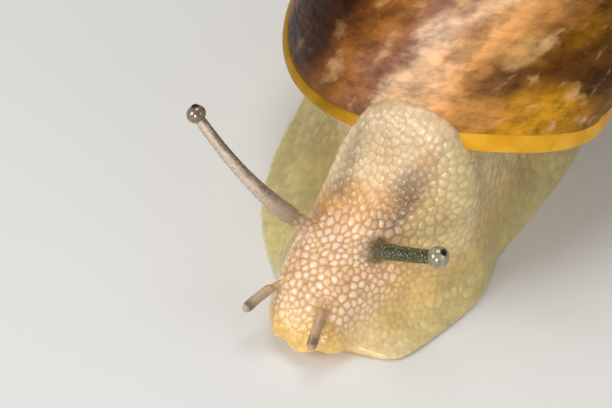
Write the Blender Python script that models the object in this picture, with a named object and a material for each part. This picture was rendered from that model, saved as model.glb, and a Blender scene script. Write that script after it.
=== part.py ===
"""Garden snail, Cornu aspersum, life size: a nearly grown animal crawling with its head turned a little right.

Lengths are in millimetres and become metres when a mesh is made. The animal is laid out from the floor point
under its mouth: x to the snail's left, y back along the foot, z up. TO_FRAME then moves it so that the origin
is the middle of its box, on the floor. The flesh is two lofts, the foot and the body above it, parted by thin
cuts. The shell is a helico-spiral: one section curve that turns about the shell's axis and grows by
WHORL_GROWTH each turn, so every whorl meets the one before it along the suture.
"""

import math

import bmesh
import bpy
import numpy as np
from mathutils import Matrix, Vector

MM = 0.001
GAP = 0.12  # every cut between two neighbouring parts
TO_FRAME = np.array([-2.48, -29.46, 0.0])

# Foot: half width, height of its back (crest) and middle line at places along the body.
FOOT_FRONT = 0.1
FOOT_END = 60.9
FOOT_NOSE = 1.2  # how far back the rounding of the front edge reaches
TAIL_NOSE = 5.0
MARGIN = 0.45  # thickness of the thin edge all round the sole
FOOT_STATIONS = [
    # y, middle, half width, crest
    (0.1, 0.2, 3.2, 1.0),
    (1.0, 0.1, 3.5, 1.2),
    (2.2, 0.0, 4.2, 1.6),
    (4.0, 0.0, 5.1, 1.9),
    (6.0, -0.2, 6.1, 2.1),
    (9.0, -0.8, 6.8, 2.2),
    (13.0, -0.6, 7.6, 2.3),
    (18.0, 0.0, 8.1, 2.3),
    (25.0, 0.0, 7.9, 2.2),
    (29.0, 0.0, 7.6, 2.0),
    (32.0, 0.0, 7.2, 2.4),
    (36.0, 0.0, 6.5, 3.5),
    (41.0, 0.0, 5.6, 3.9),
    (47.0, 0.0, 4.5, 3.3),
    (53.0, 0.0, 3.3, 2.3),
    (58.0, 0.0, 2.3, 1.3),
    (61.0, 0.0, 1.8, 0.7),
]
FOOT_CUTS = (10.0, 25.0, 41.0, 52.0)

# Body above the foot: head, neck, and the trunk that rises into the shell's aperture.
HEAD_FRONT = -0.9
HEAD_NOSE = 1.3  # length of the rounded front of the head
HEAD_YAW = math.radians(16)
YAW_ENDS = (3.0, 9.0)  # the head is turned fully before the first and not at all after the second
NOSE_HEIGHT = 1.5
CHIN = 0.75  # height of the head's underside where it reaches ahead of the foot
BODY_STATIONS = [
    # y, middle, half width, height of the widest place, top
    (-0.9, -2.35, 2.0, 1.3, 2.0),
    (0.2, -2.30, 2.3, 1.5, 2.7),
    (1.2, -2.20, 2.5, 1.7, 3.5),
    (2.5, -1.85, 2.8, 1.9, 4.5),
    (4.0, -1.20, 3.2, 2.2, 5.2),
    (5.5, -0.25, 3.8, 2.5, 6.5),
    (6.5, 0.40, 4.0, 2.75, 8.6),
    (7.3, 0.90, 4.0, 3.0, 10.5),
    (8.0, 1.15, 3.9, 3.2, 11.1),
    (9.3, 1.20, 3.8, 3.4, 10.8),
    (10.5, 1.10, 4.0, 3.6, 10.2),
    (14.0, 0.70, 4.7, 3.9, 9.4),
    (19.0, 0.30, 5.4, 4.1, 9.0),
    (24.0, 0.10, 5.4, 3.7, 7.6),
    (28.0, 0.00, 4.6, 3.0, 5.2),
    (31.5, 0.00, 3.2, 2.7, 3.1),
]
BODY_CUTS = (5.3, 9.3)
TRUNK_END = 31.5
FLARE = 0.10  # how much wider the body is where it meets the foot than at its waist
SQUARE_ENDS = (5.0, 8.0)  # the body's section is round before the first and squarer after the second
SQUARENESS = 0.7

# Shell, in its own frame: the axis is z, the apex is the origin and the aperture is at angle 0.
SHELL_DIAMETER = 29.2
WHORL_GROWTH = 2.0
TURNS = 4.2
SECTION_CENTRE = 8.2
SECTION_HALF_WIDTH = SHELL_DIAMETER / (1 + WHORL_GROWTH**-0.5) - SECTION_CENTRE
SECTION_HALF_HEIGHT = 9.1
SECTION_DROP = 1.95 * SECTION_CENTRE
SECTION_TILT = math.radians(6)
LIP_SKEW = 0.52  # radians by which the lip runs ahead at the suture and lags at the base
LIP_AHEAD = -0.005  # radians by which the whole lip is ahead of the aperture at angle 0
APEX = (-5.95, 31.2, 17.3)
AXIS_RISE = math.radians(31)
AXIS_TURN = math.radians(31.5)
AXIS_SPIN = math.radians(-9)
BASE_RADIUS = 0.3  # where the section stops beside the shell's axis
APEX_TURNS = 2.6  # the apex piece ends this many turns before the lip
OVERLAP_TURN = 0.65  # the last whorl starts this far before one full turn, to sit under the lip
ROWS_PER_TURN = 36
LIP_TURN = 0.10  # radians of turn that the thickened lip covers
LIP_THICKNESS = 0.85
LIP_PROUD = 0.1  # how far the lip stands out from the whorl where it starts
LIP_ROLL = 0.18  # and where it is fattest
COLLAR_BULGE = 0.05  # radians by which the mantle collar swells out of the aperture

# Tentacles: root, middle, tip and radii there. They stand on the head and are cut into lengths.
UPPER_TENTACLES = {
    "left": ((-0.9, 4.1, 4.2), (1.5, 3.0, 5.3), (4.42, 1.99, 6.72), (0.66, 0.45, 0.37), 0.62),
    "right": ((-2.8, 4.1, 4.5), (-6.05, 3.7, 7.3), (-9.6, 4.56, 10.82), (0.66, 0.40, 0.28), 0.54),
}
LOWER_TENTACLES = {
    "left": ((-1.35, 1.6, 3.0), (-1.3, -0.4, 2.75), (-1.35, -1.8, 1.9), (0.36, 0.29, 0.27)),
    "right": ((-3.6, 1.9, 3.1), (-4.6, 0.5, 2.9), (-5.35, -0.55, 2.45), (0.36, 0.29, 0.27)),
}
UPPER_LENGTHS = ("base", "middle", "tip")
LOWER_LENGTHS = ("base", "tip")
PUPIL_RADIUS = 0.2
PUPIL_SIDE = {"left": (0.49, -0.08, 0.87), "right": (-0.1, 0.2, 0.75)}

# Mouth and the two lappets beside it: centre and radii.
MOUTH = ((-2.15, -0.15, 1.0), (1.15, 1.15, 0.7))
LAPPETS = {
    "oral_lappet_left": ((-0.75, 0.05, 0.85), (0.9, 0.9, 0.62)),
    "oral_lappet_right": ((-3.4, 0.4, 1.1), (0.8, 1.1, 0.75)),
}


def through(stations, at):
    """Values on a smooth curve through the stations, whose first column is the place along the body."""
    table = np.array(stations, float)
    place, values = table[:, 0], table[:, 1:]
    slope = np.gradient(values, place, axis=0)
    at = np.clip(np.atleast_1d(np.asarray(at, float)), place[0], place[-1])
    i = np.clip(np.searchsorted(place, at, side="right") - 1, 0, len(place) - 2)
    span = (place[i + 1] - place[i])[:, None]
    t = (at - place[i])[:, None] / span
    rise = 3 * t**2 - 2 * t**3
    ends = values[i] * (1 - rise) + values[i + 1] * rise
    return ends + span * (slope[i] * (t - 2 * t**2 + t**3) + slope[i + 1] * (t**3 - t**2))


def blunt(distance, length):
    """1 away from an end and 0 at it, along a quarter of an ellipse."""
    return np.sqrt(1 - np.clip(1 - distance / length, 0, 1) ** 2)


def body_half_and_middle(y):
    middle, half = through(BODY_STATIONS, y)[0, :2]
    return half * (1 + FLARE), middle


def foot_section(y, grow=0.0):
    """One ring of the foot at y, from the sole's left edge round over its back."""
    middle, half, crest = through(FOOT_STATIONS, y)[0]
    narrow = blunt(y - FOOT_FRONT + 0.02, FOOT_NOSE) ** 0.7
    taper = blunt(FOOT_END - y + 0.02, TAIL_NOSE)
    half = half * narrow**0.5 * taper + grow
    crest = max(crest * narrow, MARGIN + 0.15) + grow
    body_half, body_middle = body_half_and_middle(y)
    keel = np.clip((y - TRUNK_END) / 4, 0, 1)
    edges = [
        (1 - keel) * (body_middle + side * body_half) + keel * (middle + side * 0.3 * half)
        for side in (-1, 1)
    ]
    reach = half - 0.3
    low, high = np.clip(edges, middle - reach, middle + reach)
    crown = 0.35 * keel * taper
    points = []
    for side, edge in ((-1, low), (1, high)):
        margin = middle + side * half
        flank = [(margin - side * 0.14, -grow), (margin, 0.4 * MARGIN), (margin - side * 0.12, MARGIN + grow)]
        start = margin - side * 0.12
        for share in (0.25, 0.5, 0.75, 1.0):
            flank.append((start + (edge - start) * share, MARGIN + grow + (crest - MARGIN - grow) * share**1.4))
        points.append(flank)
    back = [(low + (high - low) * share, crest + crown * (1 - (2 * share - 1) ** 2)) for share in (0.25, 0.5, 0.75)]
    loop = points[0] + back + points[1][::-1]
    return [(x, y, z) for x, z in loop]


def body_section(y, grow=0.0):
    """One ring of the body above the foot at y, turned with the head."""
    middle, half, waist, top = through(BODY_STATIONS, y)[0]
    crest = through(FOOT_STATIONS, y)[0, 2] * blunt(y - FOOT_FRONT + 0.02, FOOT_NOSE) ** 0.7
    floor = max(crest + GAP, CHIN) - grow
    half = half + grow
    top = top + grow
    size = blunt(y - HEAD_FRONT + 0.03, HEAD_NOSE)
    turn = HEAD_YAW * np.clip((YAW_ENDS[1] - y) / (YAW_ENDS[1] - YAW_ENDS[0]), 0, 1)
    square = np.clip((y - SQUARE_ENDS[0]) / (SQUARE_ENDS[1] - SQUARE_ENDS[0]), 0, 1)
    power = 2 / (2 + SQUARENESS * square)
    flank = [(1 + FLARE, floor), (1 + FLARE / 3, (floor + waist) / 2)]
    loop = [(-half * wide, z) for wide, z in flank]
    for angle in np.linspace(math.pi, 0, 11):
        wide = math.copysign(abs(math.cos(angle)) ** power, math.cos(angle))
        loop.append((half * wide, waist + (top - waist) * abs(math.sin(angle)) ** power))
    loop += [(half * wide, z) for wide, z in flank[::-1]]
    ring = []
    for x, z in loop:
        x *= size**0.8
        z = NOSE_HEIGHT + (z - NOSE_HEIGHT) * size
        ring.append((middle + x * math.cos(turn), y - x * math.sin(turn), z))
    return ring


def places(start, end, step, nose_front=0.0, nose_back=0.0):
    """Places from start to end about a step apart, closer together where an end is rounded."""
    count = max(2, round((end - start) / step) + 1)
    found = set(np.linspace(start, end, count).round(3))
    for length, at, way in ((nose_front, start, 1), (nose_back, end, -1)):
        if length:
            angles = np.radians((0, 12, 26, 42, 62))
            found |= set((at + way * length * (1 - np.cos(angles))).round(3))
            found -= {p for p in found if 0 < way * (p - at) < 0.02}
    return sorted(found)


def collection(name):
    group = bpy.data.collections.new(name)
    bpy.context.scene.collection.children.link(group)
    return group


def principled(name, colour, roughness):
    material = bpy.data.materials.new(name)
    material.use_nodes = True
    shader = material.node_tree.nodes["Principled BSDF"]
    shader.inputs["Base Color"].default_value = (*colour, 1)
    shader.inputs["Roughness"].default_value = roughness
    shader.inputs["Metallic"].default_value = 0.0
    return material


def add_mesh(name, points, faces, group, material=None, place=None, parent=None):
    """An object from points in millimetres, set at the middle of its points unless a parent places it."""
    points = np.array(points, float)
    if parent is None:
        points = points + TO_FRAME
        place = (points.min(axis=0) + points.max(axis=0)) / 2
        points = points - place
    mesh = bpy.data.meshes.new(name)
    mesh.from_pydata((points * MM).tolist(), [], faces)
    shape = bmesh.new()
    shape.from_mesh(mesh)
    bmesh.ops.remove_doubles(shape, verts=shape.verts, dist=1e-7)
    bmesh.ops.recalc_face_normals(shape, faces=shape.faces)
    shape.to_mesh(mesh)
    shape.free()
    piece = bpy.data.objects.new(name, mesh)
    group.objects.link(piece)
    if parent is None:
        piece.location = Vector(place) * MM
    else:
        piece.parent = parent
    if material is None:
        piece.hide_render = True
        piece.display_type = "WIRE"
    else:
        mesh.materials.append(material)
        mesh.shade_smooth()
        mesh.set_sharp_from_angle(angle=math.radians(40))
    return piece


def loft(name, rings, group, material=None, parent=None):
    """A closed solid through rings of equal count, with flat ends."""
    count = len(rings[0])
    points = [point for ring in rings for point in ring]
    faces = []
    for i in range(len(rings) - 1):
        for j in range(count):
            k = (j + 1) % count
            faces.append((i * count + j, i * count + k, (i + 1) * count + k, (i + 1) * count + j))
    faces.append(tuple(range(count)))
    faces.append(tuple(range((len(rings) - 1) * count, len(rings) * count)))
    return add_mesh(name, points, faces, group, material, parent=parent)


def cut(piece, cutters):
    for cutter in cutters:
        modifier = piece.modifiers.new("cut by " + cutter.name, "BOOLEAN")
        modifier.operation = "DIFFERENCE"
        modifier.solver = "EXACT"
        modifier.object = cutter


def join(piece, others):
    for other in others:
        modifier = piece.modifiers.new("join " + other.name, "BOOLEAN")
        modifier.operation = "UNION"
        modifier.solver = "EXACT"
        modifier.object = other


def section(phi, grow=0.0):
    """Radius and height of the whorl's section at angle phi, 0 outwards and 90 degrees towards the apex."""
    across = (SECTION_HALF_WIDTH + grow) * np.cos(phi)
    along = (SECTION_HALF_HEIGHT + grow) * np.sin(phi)
    lean_cos, lean_sin = math.cos(SECTION_TILT), math.sin(SECTION_TILT)
    size = WHORL_GROWTH ** (-LIP_SKEW * np.sin(phi) / math.tau)
    radius = SECTION_CENTRE + across * lean_cos - along * lean_sin
    height = -SECTION_DROP + across * lean_sin + along * lean_cos
    return np.maximum(radius, BASE_RADIUS) * size, height * size


def shell_point(turn, phi, grow=0.0):
    """A point of the shell at an angle of turn about its axis, which is 0 at the aperture and negative before."""
    radius, height = section(phi, grow)
    size = WHORL_GROWTH ** (turn / math.tau)
    return (size * radius * math.cos(turn), -size * radius * math.sin(turn), size * height)


def lip_angle(phi):
    return LIP_AHEAD + LIP_SKEW * math.sin(phi)


def suture_angles():
    """The section's angles where a whorl meets the one before it and the one after it, by Newton's method."""
    angles = np.radians((100.0, 10.0))

    def miss(pair):
        upper, lower = section(pair[0]), section(pair[1])
        return np.array([lower[i] / WHORL_GROWTH - upper[i] for i in range(2)])

    step = 1e-6
    for _ in range(30):
        slopes = np.array([(miss(angles + step * axis) - miss(angles)) / step for axis in np.eye(2)]).T
        angles = angles - np.linalg.solve(slopes, miss(angles))
    return angles


def base_angle():
    """The lower angle at which the section reaches BASE_RADIUS beside the axis."""
    phi = np.linspace(-math.pi, -math.pi / 2, 2000)
    across = SECTION_HALF_WIDTH * np.cos(phi) * math.cos(SECTION_TILT)
    along = SECTION_HALF_HEIGHT * np.sin(phi) * math.sin(SECTION_TILT)
    return float(phi[np.argmax(SECTION_CENTRE + across - along > BASE_RADIUS)])


UPPER_SUTURE, LOWER_SUTURE = suture_angles()
BASE = base_angle()


def fan_height(turn):
    """Height on the axis of the cone that parts the whorls before turn from those after it."""
    return shell_point(turn - math.pi, LOWER_SUTURE)[2]


def spire_piece(name, first, last, top, group, material, parent, columns):
    """Whorls from one angle to another: their outer strip, closed to the axis above, below and at both ends.

    Returns the angle at which the last row lies, a whole number of rows after the first.
    """
    steps = round((last - first) / math.tau * ROWS_PER_TURN)
    last = first + steps * math.tau / ROWS_PER_TURN
    points = []
    for i in range(steps + 1):
        turn = first + i * math.tau / ROWS_PER_TURN
        low = LOWER_SUTURE
        if i > steps - ROWS_PER_TURN:
            low += GAP / (SECTION_HALF_HEIGHT * WHORL_GROWTH ** (turn / math.tau))
        points += [shell_point(turn, phi) for phi in np.linspace(low, UPPER_SUTURE, columns)]
    above, below = len(points), len(points) + 1
    points += [(0, 0, top), (0, 0, fan_height(last) + GAP)]
    faces = []
    for i in range(steps):
        for j in range(columns - 1):
            a = i * columns + j
            faces.append((a, a + 1, a + columns + 1, a + columns))
        if i < ROWS_PER_TURN:
            faces.append((i * columns + columns - 1, (i + 1) * columns + columns - 1, above))
        if i >= steps - ROWS_PER_TURN:
            faces.append((i * columns, (i + 1) * columns, below))
    faces.append((above, *range(columns - 1, -1, -1)))
    faces.append((below, *range(steps * columns, steps * columns + columns)))
    add_mesh(name, points, faces, group, material, parent=parent)
    return last


def whorl_piece(name, start, end, top, group, material, parent, grow=0.0, rows=20, columns=15):
    """Part of the last whorl between two section edges, each a function of phi, closed to the axis at top."""
    angles = np.linspace(BASE, UPPER_SUTURE, columns)
    points = []
    for share in np.linspace(0, 1, rows):
        for phi in angles:
            turn = (1 - share) * start(phi) + share * end(phi)
            points.append(shell_point(turn, phi, grow))
    rims = [points[:columns], points[-columns:]]
    axis, first, last = len(points), len(points) + 1, len(points) + 2
    points += [(0, 0, top), *(tuple(np.mean(rim, axis=0)) for rim in rims)]
    faces = []
    for i in range(rows - 1):
        a = i * columns
        for j in range(columns - 1):
            faces.append((a + j, a + j + 1, a + columns + j + 1, a + columns + j))
        faces.append((a, a + columns, axis))
        faces.append((a + columns - 1, a + 2 * columns - 1, axis))
    for base, middle in ((0, first), ((rows - 1) * columns, last)):
        for j in range(columns - 1):
            faces.append((base + j, base + j + 1, middle))
        faces.append((axis, base, middle))
        faces.append((base + columns - 1, axis, middle))
    return add_mesh(name, points, faces, group, material, parent=parent)


def columella_piece(name, top, group, parent, grow=0.0):
    """The solid pillar about the axis that closes the umbilicus."""
    wide = 2 * BASE_RADIUS + grow
    rings = []
    for radius, z in ((0.1, top + GAP / 3), (wide, top - 1.5), (wide, section(BASE)[1] * 0.9)):
        angles = np.linspace(0, math.tau, 9)[:-1]
        rings.append([(radius * math.cos(a), radius * math.sin(a), z) for a in angles])
    return loft(name, rings, group, parent=parent)


def shell_frame(group):
    """An empty at the apex, turned so that its z is the shell's axis and its x points at the aperture."""
    right, ahead, up = Vector((-1, 0, 0)), Vector((0, -1, 0)), Vector((0, 0, 1))
    level = right * math.cos(AXIS_TURN) - ahead * math.sin(AXIS_TURN)
    axis = level * math.cos(AXIS_RISE) + up * math.sin(AXIS_RISE)
    forward = ahead * math.cos(AXIS_TURN) + right * math.sin(AXIS_TURN)
    over = axis.cross(forward)
    x = forward * math.cos(AXIS_SPIN) + over * math.sin(AXIS_SPIN)
    y = axis.cross(x)
    empty = bpy.data.objects.new("shell_frame", None)
    group.objects.link(empty)
    turned = Matrix((x, y, axis)).transposed().to_4x4()
    empty.matrix_world = Matrix.Translation(Vector((np.array(APEX) + TO_FRAME) * MM)) @ turned
    return empty


def aperture_disc(grow, turns_and_sizes, count=26):
    """Rings across the whole aperture: the section shrunk by the lip, each at a turn past the lip and a size.

    The first and last are repeated near the middle, so that the flat ends are too small to matter.
    """
    angles = np.linspace(-math.pi, math.pi, count, endpoint=False)
    first, last = turns_and_sizes[0][0], turns_and_sizes[-1][0]
    rings = []
    for turn, size in [(first, 0.02), *turns_and_sizes, (last, 0.02)]:
        edge = np.array([shell_point(lip_angle(phi) + turn, phi, grow) for phi in angles])
        centre = edge.mean(axis=0)
        rings.append([tuple(centre + (point - centre) * size) for point in edge])
    return rings


def build_shell(parts, cutters):
    """The shell's four pieces and the mantle collar in its mouth. Returns the cutters that clear flesh from it."""
    frame = shell_frame(parts)
    horn = principled("shell_brown", (0.30, 0.13, 0.035), 0.35)
    dark = principled("shell_spire_brown", (0.22, 0.10, 0.035), 0.4)
    amber = principled("shell_lip_amber", (0.75, 0.42, 0.08), 0.35)
    flesh = principled("mantle_cream", (0.62, 0.50, 0.30), 0.45)

    apex_end = -APEX_TURNS * math.tau
    apex_end = spire_piece("shell_apex", -TURNS * math.tau, apex_end, -0.02, parts, dark, frame, 4)
    top = fan_height(apex_end)
    spire_start = apex_end + 0.03
    whorl_start = -math.tau - OVERLAP_TURN
    spire_end = spire_piece("shell_spire", spire_start, whorl_start, top, parts, dark, frame, 6)

    top = fan_height(spire_end)

    def first_edge(phi):
        return spire_end + 0.02

    def middle_edge(phi):
        return -math.pi

    def last_edge(phi):
        return lip_angle(phi) - LIP_TURN

    whorl = whorl_piece("shell_body_whorl", middle_edge, last_edge, top, parts, horn, frame, rows=19)
    early = whorl_piece(
        "early_whorl", first_edge, lambda phi: middle_edge(phi) + 0.02, top, cutters, None, frame, rows=19
    )
    columella = columella_piece("columella", top, cutters, frame)
    join(whorl, [early, columella])

    def clear_edge(phi):
        return last_edge(phi) + GAP / 12

    clear_of_shell = [columella_piece("clear_columella", top, cutters, frame, GAP)]
    for name, start, end in (("first", first_edge, middle_edge), ("last", middle_edge, clear_edge)):
        clear_of_shell.append(
            whorl_piece("clear_" + name, start, end, top, cutters, None, frame, grow=GAP, rows=19)
        )
    back = GAP / 8 - LIP_TURN
    cut(lip_band(parts, frame, amber, back), clear_of_shell)
    collar_rings = [(back, 0.6), (back, 1), (0.0, 1)]
    collar_rings += [(COLLAR_BULGE * 0.6, 0.93), (COLLAR_BULGE, 0.7)]
    collar = loft("mantle_collar", aperture_disc(-LIP_THICKNESS - GAP, collar_rings), parts, flesh, frame)
    cut(collar, clear_of_shell)
    apart = GAP / 8
    below = [(apart, 1), (COLLAR_BULGE * 0.6 + apart, 0.95), (COLLAR_BULGE + apart, 0.73)]
    below_collar = aperture_disc(-LIP_THICKNESS, [(back, 1), *below])
    below_lip = aperture_disc(LIP_ROLL + GAP, [(-0.3, 1), (-0.18, 1), (-0.07, 1), (apart, 1)])
    clear_of_shell.append(loft("clear_collar", below_collar, cutters, parent=frame))
    clear_of_shell.append(loft("clear_lip", below_lip, cutters, parent=frame))
    return clear_of_shell


def lip_band(parts, frame, amber, back):
    """The thickened amber edge of the aperture."""
    rings = []
    for phi in np.linspace(BASE + 0.25, UPPER_SUTURE - 0.12, 22):
        ring = []
        for turn, grow in (
            (back, LIP_PROUD),
            (-0.35 * LIP_TURN, LIP_ROLL),
            (0.0, -0.2),
            (0.0, -LIP_THICKNESS + 0.2),
            (back, -LIP_THICKNESS),
        ):
            ring.append(shell_point(lip_angle(phi) + turn, phi, grow))
        rings.append(ring)
    return loft("shell_lip", rings, parts, amber, frame)


def build_foot(parts, clear_of_shell):
    skin = principled("foot_olive", (0.42, 0.36, 0.20), 0.5)
    names = ("foot_front", "foot_middle", "foot_rear", "tail", "tail_tip")
    edges = (FOOT_FRONT, *FOOT_CUTS, FOOT_END)
    for i, name in enumerate(names):
        start = edges[i] + (GAP / 2 if i else 0)
        end = edges[i + 1] - (GAP / 2 if i < len(names) - 1 else 0)
        spots = places(start, end, 1.9, 0 if i else FOOT_NOSE, TAIL_NOSE if name == "tail_tip" else 0)
        piece = loft(name, [foot_section(y) for y in spots], parts, skin)
        if name in ("foot_middle", "foot_rear"):
            cut(piece, clear_of_shell)


def build_body(parts, cutters, clear_of_shell):
    """Head, neck and trunk. Returns the cutters that clear small parts from the head and the foot's front."""
    head_skin = principled("head_tan", (0.60, 0.42, 0.26), 0.45)
    neck_skin = principled("neck_cream", (0.62, 0.50, 0.33), 0.45)
    trunk_skin = principled("trunk_cream", (0.55, 0.45, 0.26), 0.45)
    head_end, neck_end = BODY_CUTS
    pieces = (
        ("head", HEAD_FRONT, head_end - GAP / 2, HEAD_NOSE, head_skin),
        ("neck", head_end + GAP / 2, neck_end - GAP / 2, 0, neck_skin),
        ("trunk", neck_end + GAP / 2, TRUNK_END, 0, trunk_skin),
    )
    for name, start, end, nose, skin in pieces:
        spots = places(start, end, 1.0 if name != "trunk" else 2.0, nose)
        piece = loft(name, [body_section(y) for y in spots], parts, skin)
        if name != "head":
            cut(piece, clear_of_shell)
    head_spots = places(HEAD_FRONT, head_end + 1.0, 1.0, HEAD_NOSE)
    head_room = loft("clear_head", [body_section(y, GAP) for y in head_spots], cutters)
    foot_spots = places(FOOT_FRONT, 8.0, 1.0, FOOT_NOSE)
    foot_room = loft("clear_foot", [foot_section(y, GAP) for y in foot_spots], cutters)
    return [head_room, foot_room]


def ball(name, centre, radii, group, material=None, segments=16, rings=10):
    """An ellipsoid from a sphere primitive."""
    shape = bmesh.new()
    bmesh.ops.create_uvsphere(shape, u_segments=segments, v_segments=rings, radius=1)
    points = [tuple(np.array(v.co) * np.array(radii) + np.array(centre)) for v in shape.verts]
    faces = [tuple(v.index for v in f.verts) for f in shape.faces]
    shape.free()
    return add_mesh(name, points, faces, group, material)


def build_mouth(parts, cutters, clear_of_head):
    """The mouth's lips and the two lappets beside them. Returns the cutters that clear tentacles from the face."""
    lips = principled("mouth_yellow_cream", (0.70, 0.55, 0.28), 0.4)
    clear_of_face = list(clear_of_head)
    for name, (centre, radii) in {"mouth": MOUTH, **LAPPETS}.items():
        lip = ball(name, centre, radii, parts, lips, 14, 8)
        cut(lip, clear_of_face)
        clear_of_face.append(ball("clear_" + name, centre, [r + GAP for r in radii], cutters, None, 14, 8))
    return clear_of_face


def bezier(root, middle, tip, t):
    """A point on the parabola that starts at root, passes middle halfway and ends at tip, and its direction."""
    root, middle, tip = (np.array(p, float) for p in (root, middle, tip))
    handle = 2 * middle - (root + tip) / 2
    point = (1 - t) ** 2 * root + 2 * t * (1 - t) * handle + t**2 * tip
    way = 2 * (1 - t) * (handle - root) + 2 * t * (tip - handle)
    return point, way


def stalk_length(name, line, radii, span, group, material, points=5):
    """One length of a tentacle: a curve with a round bevel whose radius follows the stalk's taper."""
    curve = bpy.data.curves.new(name, "CURVE")
    curve.dimensions = "3D"
    curve.bevel_depth = MM
    curve.bevel_resolution = 2
    curve.use_fill_caps = True
    spline = curve.splines.new("POLY")
    spline.points.add(points - 1)
    for i, t in enumerate(np.linspace(*span, points)):
        point, _ = bezier(*line, t)
        spline.points[i].co = (*((point + TO_FRAME) * MM), 1)
        spline.points[i].radius = float(through([(0, radii[0]), (0.5, radii[1]), (1, radii[2])], t)[0, 0])
    tube = bpy.data.objects.new(name + "_curve", curve)
    bpy.context.scene.collection.objects.link(tube)
    evaluated = tube.evaluated_get(bpy.context.evaluated_depsgraph_get())
    mesh = bpy.data.meshes.new_from_object(evaluated)
    bpy.data.objects.remove(tube)
    bpy.data.curves.remove(curve)
    shape = bmesh.new()
    shape.from_mesh(mesh)
    bmesh.ops.remove_doubles(shape, verts=shape.verts, dist=1e-6)
    bmesh.ops.recalc_face_normals(shape, faces=shape.faces)
    shape.to_mesh(mesh)
    shape.free()
    mesh.name = name
    mesh.materials.clear()
    mesh.materials.append(material)
    piece = bpy.data.objects.new(name, mesh)
    group.objects.link(piece)
    return piece


def build_tentacles(parts, cutters, clear_of_face):
    stalk = principled("tentacle_grey", (0.16, 0.13, 0.09), 0.4)
    bulb_skin = principled("eye_bulb_grey", (0.28, 0.25, 0.18), 0.25)
    black = principled("eye_black", (0.01, 0.01, 0.01), 0.15)
    for side, (root, middle, tip, radii, bulb) in UPPER_TENTACLES.items():
        line = (root, middle, tip)
        length = sum(
            np.linalg.norm(np.subtract(b, a)) for a, b in ((root, middle), (middle, tip))
        )
        name = "tentacle_upper_" + side + "_"
        edges = np.linspace(0, 1 - (bulb + GAP) / length * 0.9, len(UPPER_LENGTHS) + 1)
        for i, part in enumerate(UPPER_LENGTHS):
            start = edges[i] + (GAP / length if i else 0)
            piece = stalk_length(name + part, line, radii, (start, edges[i + 1]), parts, stalk)
            if part == "base":
                cut(piece, clear_of_face[:1])
        eye = ball("eye_bulb_" + side, tip, (bulb, bulb, bulb), parts, bulb_skin)
        way = np.array(PUPIL_SIDE[side])
        spot = np.array(tip) + way / np.linalg.norm(way) * (bulb - 0.55 * PUPIL_RADIUS)
        ball("eye_pupil_" + side, spot, [PUPIL_RADIUS] * 3, parts, black, 10, 6)
        room = ball("clear_pupil_" + side, spot, [PUPIL_RADIUS + GAP / 3] * 3, cutters, segments=10, rings=6)
        cut(eye, [room])
    for side, (root, middle, tip, radii) in LOWER_TENTACLES.items():
        line = (root, middle, tip)
        length = sum(
            np.linalg.norm(np.subtract(b, a)) for a, b in ((root, middle), (middle, tip))
        )
        name = "tentacle_lower_" + side + "_"
        base = stalk_length(name + "base", line, radii, (0, 0.62), parts, stalk, 4)
        cut(base, clear_of_face)
        end = stalk_length(name + "tip", line, radii, (0.62 + GAP / length, 1), parts, stalk, 4)
        cut(end, clear_of_face)


def build():
    for old in list(bpy.data.objects):
        bpy.data.objects.remove(old)
    parts = collection("garden_snail")
    cutters = collection("garden_snail_cutters")
    clear_of_shell = build_shell(parts, cutters)
    build_foot(parts, clear_of_shell)
    clear_of_head = build_body(parts, cutters, clear_of_shell)
    clear_of_face = build_mouth(parts, cutters, clear_of_head)
    build_tentacles(parts, cutters, clear_of_face)


build()
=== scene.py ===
"""The looks of the garden snail: one skin, a ridged and banded shell, an amber lip and glossy eyes.

Lengths are in millimetres, laid out from the floor point under the mouth: x to the snail's left, y back along
the foot, z up. The frame's eye bulb says where that point is in the row's frame, and place() moves each
finished mesh there in metres.
"""

import itertools
import math

import bmesh
import bpy
import numpy as np
from mathutils import Matrix, Vector
from mathutils.kdtree import KDTree


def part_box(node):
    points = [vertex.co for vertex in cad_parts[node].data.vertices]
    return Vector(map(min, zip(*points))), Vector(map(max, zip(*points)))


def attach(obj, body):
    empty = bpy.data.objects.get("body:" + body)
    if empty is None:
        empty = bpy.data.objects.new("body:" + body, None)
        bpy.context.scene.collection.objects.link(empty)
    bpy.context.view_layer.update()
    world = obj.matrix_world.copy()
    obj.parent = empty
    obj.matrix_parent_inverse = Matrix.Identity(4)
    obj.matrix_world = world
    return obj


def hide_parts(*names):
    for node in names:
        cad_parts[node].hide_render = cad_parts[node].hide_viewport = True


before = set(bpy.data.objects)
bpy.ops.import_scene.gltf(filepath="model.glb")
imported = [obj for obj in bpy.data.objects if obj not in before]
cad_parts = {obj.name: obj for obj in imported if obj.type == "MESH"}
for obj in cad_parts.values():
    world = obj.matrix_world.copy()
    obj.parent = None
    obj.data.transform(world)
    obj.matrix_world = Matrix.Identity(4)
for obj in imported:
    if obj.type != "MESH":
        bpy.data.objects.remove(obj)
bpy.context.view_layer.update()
MM = 0.001
RNG = np.random.default_rng(7)

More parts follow.
